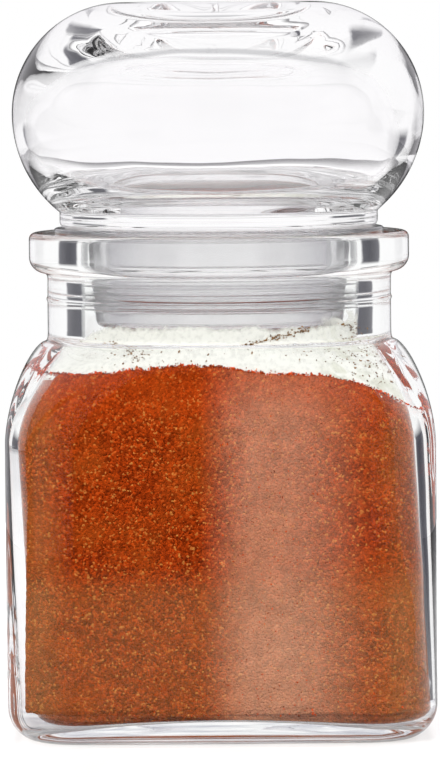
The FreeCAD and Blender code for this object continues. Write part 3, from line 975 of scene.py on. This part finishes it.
def spice_material(spice):
    """Grains of dark, bright and pale spice, browner low down, with a pale band of painted
    reflection in front.
    """
    material, tree, shader, _ = new_material("ground_spice", Roughness=0.85,
                                             Specular_IOR_Level=0.0)
    grain = place_group(tree, shared_groups()["grain"], Scale=3600.0)
    dark, bright, pale = tuple(spice.dark), tuple(spice.bright), tuple(spice.pale)
    middle = blend_tones(dark, bright, 0.42)
    tone = ramp(tree, grain.outputs["Tone"], [
        (0.0, dark), (0.25, blend_tones(dark, middle, 0.55)), (0.5, middle),
        (0.76, blend_tones(middle, bright, 0.7)), (0.89, bright), (1.0, pale)])
    where, across, deep, level = place_of(tree)
    wide = noise(tree, where, 110.0, Detail=3.0, Roughness=0.6)
    side = math_node(tree, "ABSOLUTE", across)
    # A pale upright band behind the front face, right of its middle: a painted reflection of a
    # soft light on the glass, put into the spice's colour.
    painted_reflection_band = product(tree, map_range(tree, across, -3.5 * MM, 5 * MM),
                    map_range(tree, across, 22.5 * MM, 8.5 * MM),
                    map_range(tree, deep, -15 * MM, -22 * MM),
                    map_range(tree, level, 52 * MM, 44 * MM, 0.22, 0.52),
                    map_range(tree, level, 24 * MM, 12 * MM, 1.0, 1.22))
    # Browner low down, warmer in patches and paler by the sides; brighter along the top as painted
    # light, where light from above falls on the heap's sloping top.
    for share, over in (
            (map_range(tree, level, 25.5 * MM, 20 * MM, 0.0, 0.14), (0.50, 0.40, 0.15)),
            (map_range(tree, wide, 0.42, 0.66, 0.0, 0.35), (0.52, 0.105, 0.012)),
            (map_range(tree, side, 20.5 * MM, 24.5 * MM, 0.0, 0.16), (0.55, 0.33, 0.11)),
            (map_range(tree, level, 42.5 * MM, 47.5 * MM, 0.0, 0.30), bright),
            (painted_reflection_band, (0.80, 0.41, 0.26))):
        tone = mix_colour(tree, share, tone, over)
    shade = math_node(tree, "ADD", product(tree, grain.outputs["Patch"], 0.8), 0.60)
    grey = add(tree, "ShaderNodeCombineColor", Red=shade, Green=shade, Blue=shade)
    tone = mix_colour(tree, 1.0, tone, grey.outputs[0], "MULTIPLY")
    tone = mix_colour(tree, product(tree, grain.outputs["Flake"], 0.35), tone, pale)
    wire(tree, shader, Base_Color=tone,
         Normal=relief(tree, grain.outputs["Height"], 0.9, 0.4 * MM))
    return material


def crumb_material(name, tone, spread):
    """Loose crumbs of one kind, each a little lighter or darker than the next."""
    material, tree, shader, _ = new_material(name, Roughness=0.7, Specular_IOR_Level=0.08)
    grain = place_group(tree, shared_groups()["grain"], Scale=1500.0)
    wire(tree, shader, Normal=relief(tree, grain.outputs["Height"], 0.4, 0.2 * MM),
         Base_Color=mix_colour(tree, grain.outputs["Tone"], scaled(tone, 1 - spread),
                               scaled(tone, 1 + spread)))
    return material


def film_material(tone):
    """Pale dust that clings to the glass, reaching less high at the sides, patchy at its edge."""
    material, tree, shader, _ = new_material("dust_film", Roughness=0.95,
                                             Specular_IOR_Level=0.05)
    where, across, deep, level = place_of(tree)
    cloud = noise(tree, where, 260.0, Detail=6.0, Roughness=0.7)
    swirl = noise(tree, where, 210.0, Detail=5.0, Distortion=1.6)
    speck = noise(tree, where, 1500.0, Detail=3.0)
    side = math_node(tree, "ABSOLUTE", across)
    raised = math_node(tree, "ADD", wavering(tree, level, cloud, 3 * MM),
                       map_range(tree, side, 14.5 * MM, 19 * MM, 0.0, 3.4 * MM))
    # A smear of dust climbs the neck, in front and to the right.
    smear = product(tree, map_range(tree, across, 11.5 * MM, 16.5 * MM),
                    map_range(tree, deep, 0.0, -4 * MM),
                    map_range(tree, wavering(tree, level, swirl, 12 * MM),
                              58.8 * MM, 56.8 * MM))
    shown = math_node(tree, "MAXIMUM", map_range(tree, raised, 57.3 * MM, 56.4 * MM),
                      product(tree, smear, 0.85))
    pale = mix_colour(tree, cloud, tone, scaled(tone, 1.05))
    streaks = map_range(tree, swirl, 0.40, 0.62, 0.0, 0.55)
    wire(tree, shader, Normal=relief(tree, speck, 0.15, 0.2 * MM),
         Alpha=product(tree, shown, map_range(tree, speck, 0.30, 0.55, 0.86, 1.0)),
         Base_Color=mix_colour(tree, product(tree, smear, streaks), pale, (0.66, 0.66, 0.52)))
    return material


def seal_material(milk):
    """Milky plastic, with painted shade: its colour darkens along the sides that turn away from
    view.
    """
    material, tree, shader, _ = new_material("milky_plastic", Transmission_Weight=0.93, IOR=1.46)
    swell = place_group(tree, shared_groups()["swell"], Size=240.0)
    # Painted shade: the colour goes from the milk tone to grey as the surface turns from facing
    # the view to its grazing sides.
    face = add(tree, "ShaderNodeLayerWeight", Blend=0.5)
    side = ramp(tree, face.outputs["Facing"], [
        (0.04, milk), (0.20, blend_tones(milk, (0.5, 0.49, 0.52), 0.16)),
        (0.40, (0.80, 0.79, 0.82)), (0.8, (0.60, 0.59, 0.62))])
    height = swell.outputs["Height"]
    wire(tree, shader, Normal=relief(tree, height, 0.04, MM),
         Base_Color=mix_colour(tree, height, side, lightened(milk, 0.02), "MULTIPLY"),
         Roughness=math_node(tree, "ADD", product(tree, swell.outputs["Mask"], 0.03), 0.07))
    return material


def shared_groups():
    """The node groups, made once."""
    made = {}
    for key, name, make in (("swell", "Glass swell", swell_group),
                            ("grain", "Ground grain", grain_group)):
        made[key] = bpy.data.node_groups.get(name) or make()
    return made


# ---------------------------------------------------------------- operators


def place(piece, material, slot, *nodes):
    """Put a piece with its material on the part, for the nodes that it stands for."""
    piece.data.materials.append(material)
    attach(piece, "root")
    if nodes:
        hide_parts(*nodes)


class SPICEJAR_OT_jar(Operator):
    """Add the glass jar"""
    bl_idname = "spicejar.jar"
    bl_label = "Glass jar"

    def execute(self, context):
        jar = context.scene.spicejar_jar
        glass = glass_material("jar_glass", tuple(jar.tint), tuple(jar.streaks), 60.0)
        place(make_jar_glass(jar), glass, "jar_glass", "jar")
        return {"FINISHED"}


class SPICEJAR_OT_lid(Operator):
    """Add the hollow glass stopper"""
    bl_idname = "spicejar.lid"
    bl_label = "Glass stopper"

    def execute(self, context):
        lid = context.scene.spicejar_lid
        glass = glass_material("lid_glass", tuple(lid.tint), tuple(lid.tint), 70.0)
        place(make_lid_glass(lid), glass, "lid_glass", "lid")
        return {"FINISHED"}


class SPICEJAR_OT_seal(Operator):
    """Add the ribbed plastic seal"""
    bl_idname = "spicejar.seal"
    bl_label = "Seal"

    def execute(self, context):
        seal = context.scene.spicejar_seal
        place(make_seal(seal), seal_material(tuple(seal.milk)), "seal_plastic", "seal")
        return {"FINISHED"}


class SPICEJAR_OT_spice(Operator):
    """Add the ground spice and the loose grains on it"""
    bl_idname = "spicejar.spice"
    bl_label = "Ground spice"

    def execute(self, context):
        spice, jar = context.scene.spicejar_spice, context.scene.spicejar_jar
        core = make_spice_core(spice, jar)
        place(core, spice_material(spice), "spice", "ground_spice")
        random = np.random.default_rng(7)
        # Kind, tone, its spread, how many on the heap (and again at its rim) and sent to the
        # wall, and the least and greatest width in grains.
        kinds = (("bright", tuple(spice.bright), 0.45, 2600, 8000, 0.44, 0.84),
                 ("dark", tuple(spice.dark), 0.5, 1500, 4200, 0.44, 0.76),
                 ("pale", tuple(spice.pale), 0.3, 420, 600, 0.28, 0.60))
        for index, (kind, tone, spread, on_heap, on_wall, small, large) in enumerate(kinds):
            top = heap_places(random, on_heap, jar, 0.2 * MM)
            top[:, 2] += random.uniform(-0.05, 0.25, len(top)) * MM
            wall = wall_places(random, on_wall, jar, 0.03 * MM)
            turned = random.uniform(0, 2 * math.pi, on_heap)
            rim = wall_top(turned, jar, 0.06 * MM)
            rim[:, 2] += ragged(rim) + random.normal(0.0, 0.16, len(rim)) * MM
            rim = inner_swell(rim)
            places = np.concatenate([top, wall, rim])
            widths = random.uniform(small, large, len(places)) * spice.grain
            stretch = random.uniform(0.8, 1.7, len(places))
            piece = scatter(f"crumbs_{kind}", places, widths, stretch, 0.55, 40 + index)
            place(piece, crumb_material(f"crumbs_{kind}", tone, spread), "spice")
        return {"FINISHED"}


class SPICEJAR_OT_dust(Operator):
    """Add the dust and specks that cling to the inside of the glass over the heap"""
    bl_idname = "spicejar.dust"
    bl_label = "Clinging dust"

    def execute(self, context):
        spice, jar = context.scene.spicejar_spice, context.scene.spicejar_jar
        place(make_film(jar), film_material(tuple(spice.dust)), "spice")
        random = np.random.default_rng(19)
        across, level = clusters(random, [
            (-12.6, 53.7, 1.1, 0.5, -0.25, 90), (-11.4, 52.4, 1.2, 0.6, 0.0, 30),
            (8.6, 55.9, 1.6, 0.22, 0.26, 90), (4.8, 54.9, 1.2, 0.16, 0.26, 40),
            (19.0, 52.0, 2.6, 1.3, -0.35, 110), (21.5, 50.6, 1.7, 1.2, -0.2, 50),
            (11.0, 52.6, 5.0, 0.7, -0.1, 40), (-10.0, 52.4, 7.0, 0.9, 0.0, 46),
            (16.6, 56.6, 0.7, 0.3, -0.3, 40), (17.5, 54.3, 1.6, 0.6, -0.4, 40)])
        places = behind_glass(across, level, jar, 0.06 * MM)
        widths = np.abs(random.normal(0.24, 0.12, len(places))).clip(0.1, 0.6) * MM
        specks = scatter("dust_specks", places, widths, random.uniform(0.8, 2.0, len(places)),
                         0.6, 61)
        place(specks, crumb_material("dust_specks", tuple(spice.speck), 0.4), "spice")
        return {"FINISHED"}


class SPICEJAR_OT_stage(Operator):
    """Add the floor, the soft lights, the world and the camera"""
    bl_idname = "spicejar.stage"
    bl_label = "Stage"

    def execute(self, context):
        make_floor()
        make_lights()
        make_world(context.scene)
        make_camera(context.scene)
        context.scene.view_settings.view_transform = "Standard"
        paths = context.scene.cycles
        paths.max_bounces = 20
        paths.glossy_bounces = 14
        paths.transmission_bounces = 20
        paths.transparent_max_bounces = 16
        return {"FINISHED"}


FLOOR_RADIUS = 0.38
FLOOR_WHITE = 0.17


def make_floor():
    """A white sweep round the jar that turns dark far out, where the jar's faces mirror it."""
    turn = turns(96, 0)
    rings = [round_ring(turn, 0.0, radius) for radius in (FLOOR_RADIUS, 0.2, 0.1)]
    floor = make_object("floor", [lattice(rings, None, [0, 0, 0])])
    material, tree, shader, _ = new_material("floor_white", Roughness=0.25,
                                             Emission_Color=(1, 1, 1))
    where = add(tree, "ShaderNodeTexCoord").outputs["Object"]
    away = add(tree, "ShaderNodeVectorMath", operation="LENGTH", Vector=where).outputs["Value"]
    white = ramp(tree, noise(tree, where, 12.0), [(0.3, 0.80), (0.7, 0.82)])
    far = map_range(tree, away, FLOOR_WHITE, 0.36)
    path = add(tree, "ShaderNodeLightPath").outputs
    bent = product(tree, math_node(tree, "MAXIMUM", path["Is Glossy Ray"],
                                   path["Is Transmission Ray"]), 0.08)
    seen = product(tree, path["Is Camera Ray"],
                   map_range(tree, away, FLOOR_WHITE, 0.30, 0.42, 1.1))
    wire(tree, shader, Base_Color=mix_colour(tree, far, white, (0.04, 0.04, 0.04)),
         Emission_Strength=math_node(tree, "MAXIMUM", bent, seen))
    floor.data.materials.append(material)


def make_lights():
    """Three soft lamps that light the spice and stay out of the glass."""
    middle = Vector((0, 0, 0.05))
    for name, place_at, size, power, colour_of in (
            ("key", (-0.9, -1.0, 1.3), (0.9, 0.9), 12.0, (1.0, 0.99, 0.97)),
            ("fill", (1.2, -0.7, 0.8), (0.8, 1.0), 5.5, (0.98, 0.99, 1.0)),
            ("rear", (0.2, 1.2, 1.2), (1.2, 0.8), 7.0, (1.0, 1.0, 1.0))):
        lamp = bpy.data.lights.new(name, "AREA")
        lamp.shape = "RECTANGLE"
        lamp.size, lamp.size_y = size
        lamp.energy = power
        lamp.color = colour_of
        holder = bpy.data.objects.new(name, lamp)
        holder.location = place_at
        toward = (middle - Vector(place_at)).to_track_quat("-Z", "Y")
        holder.rotation_euler = toward.to_euler()
        holder.visible_camera = holder.visible_transmission = holder.visible_glossy = False
        bpy.context.collection.objects.link(holder)


def make_world(scene):
    """White all round for the eye, with narrow grey flags that only the glass bends into view."""
    world = bpy.data.worlds.new("studio")
    scene.world = world
    world.use_nodes = True
    tree = world.node_tree
    tree.nodes.clear()
    output = add(tree, "ShaderNodeOutputWorld")
    path = add(tree, "ShaderNodeLightPath")
    where, east, north, up = place_of(tree, "Generated")
    turn = wavering(tree, math_node(tree, "ARCTAN2", north, east),
                    noise(tree, where, 9.0, Detail=2.0), 0.05)
    # Aside is nought straight before each face of the jar and one before each corner, and
    # level runs from nought straight down to one straight up.
    flags = math_node(tree, "COSINE", product(tree, turn, 4.0))
    aside = product(tree, math_node(tree, "SUBTRACT", 1.0, flags), 0.5)
    level = math_node(tree, "ADD", product(tree, up, 0.5), 0.5)
    flag_tone = ramp(tree, aside, [
        (0.80, 1.0), (0.87, (0.13, 0.13, 0.15)), (1.0, (0.07, 0.07, 0.085))])
    near_level = ramp(tree, level, [(0.34, 0.0), (0.43, 1.0), (0.53, 1.0), (0.59, 0.0)])
    flag_low = mix_colour(tree, near_level, (1.0, 1.0, 1.0), flag_tone)
    high = ramp(tree, level, [(0.80, 1.0), (0.83, (0.62, 0.62, 0.63)),
                              (0.87, (0.62, 0.62, 0.63)), (0.90, 1.0)])
    bent = mix_colour(tree, 1.0, flag_low, high, "MULTIPLY")
    # The outside of the glass mirrors white too, but for a dim place straight before each face.
    beside = ramp(tree, aside, [(0.10, 0.0), (0.32, 1.0)])
    beyond = ramp(tree, level, [(0.37, 1.0), (0.42, 0.0), (0.53, 0.0), (0.58, 1.0)])
    above = ramp(tree, level, [(0.37, 1.0), (0.42, 0.0), (0.90, 0.0), (0.96, 1.0)])
    before = math_node(tree, "LESS_THAN", north, 0.0)
    clear = mix_colour(tree, 1.0, beside, mix_colour(tree, before, beyond, above), "LIGHTEN")
    mirror = mix_colour(tree, clear, (0.05, 0.05, 0.05), (0.86, 0.84, 0.88))
    last = add(tree, "ShaderNodeBackground", Color=(1, 1, 1), Strength=0.86).outputs[0]
    for mask, colour_of in (("Is Glossy Ray", mirror), ("Is Transmission Ray", bent),
                            ("Is Camera Ray", (1.0, 1.0, 1.0))):
        light = add(tree, "ShaderNodeBackground", Color=colour_of, Strength=1.0)
        last = mix_shader(tree, path.outputs[mask], last, light.outputs[0])
    wire(tree, output, Surface=last)


def make_camera(scene):
    """A long lens a little over the height of the lid, looking slightly down."""
    stage = scene.spicejar_stage
    camera = bpy.data.cameras.new("camera")
    camera.lens = stage.lens
    camera.clip_end = 50.0
    camera.clip_start = 0.01
    holder = bpy.data.objects.new("camera", camera)
    place_at = Vector((0.0, -stage.distance, stage.eye))
    aim = Vector((0.0, 0.0, stage.aim))
    turn = (aim - place_at).to_track_quat("-Z", "Y").to_matrix().to_4x4()
    holder.matrix_world = (Matrix.Translation(place_at) @ turn
                           @ Matrix.Rotation(stage.roll, 4, "Z"))
    bpy.context.collection.objects.link(holder)
    scene.camera = holder


class SPICEJAR_PT_panel(Panel):
    """Buttons for every piece of the spice jar"""
    bl_idname = "SPICEJAR_PT_panel"
    bl_label = "Spice Jar"
    bl_space_type = "VIEW_3D"
    bl_region_type = "UI"
    bl_category = "Spice Jar"

    def draw(self, context):
        for group in PROPERTY_GROUPS:
            values = getattr(context.scene, group)
            box = self.layout.box()
            for name in values.bl_rna.properties.keys():
                if name not in ("rna_type", "name"):
                    box.prop(values, name)
        for operator in OPERATORS:
            self.layout.operator(operator.bl_idname)


PROPERTY_GROUPS = {
    "spicejar_jar": SPICEJAR_JarSizes,
    "spicejar_spice": SPICEJAR_SpiceSizes,
    "spicejar_lid": SPICEJAR_LidSizes,
    "spicejar_seal": SPICEJAR_SealSizes,
    "spicejar_stage": SPICEJAR_StageSizes,
}
OPERATORS = (SPICEJAR_OT_jar, SPICEJAR_OT_spice, SPICEJAR_OT_dust, SPICEJAR_OT_seal,
             SPICEJAR_OT_lid, SPICEJAR_OT_stage)


def register():
    """Add the values, operators and panel to the program."""
    for group in PROPERTY_GROUPS.values():
        bpy.utils.register_class(group)
    for name, group in PROPERTY_GROUPS.items():
        setattr(bpy.types.Scene, name, PointerProperty(type=group))
    for operator in OPERATORS:
        bpy.utils.register_class(operator)
    bpy.utils.register_class(SPICEJAR_PT_panel)


def unregister():
    """Take them all away again."""
    bpy.utils.unregister_class(SPICEJAR_PT_panel)
    for operator in reversed(OPERATORS):
        bpy.utils.unregister_class(operator)
    for name in PROPERTY_GROUPS:
        delattr(bpy.types.Scene, name)
    for group in reversed(list(PROPERTY_GROUPS.values())):
        bpy.utils.unregister_class(group)


def main():
    """Make every piece and the stage."""
    register()
    bpy.ops.spicejar.jar()
    bpy.ops.spicejar.spice()
    bpy.ops.spicejar.dust()
    bpy.ops.spicejar.seal()
    bpy.ops.spicejar.lid()
    bpy.ops.spicejar.stage()
    bpy.context.view_layer.update()


if __name__ == "__main__":
    main()
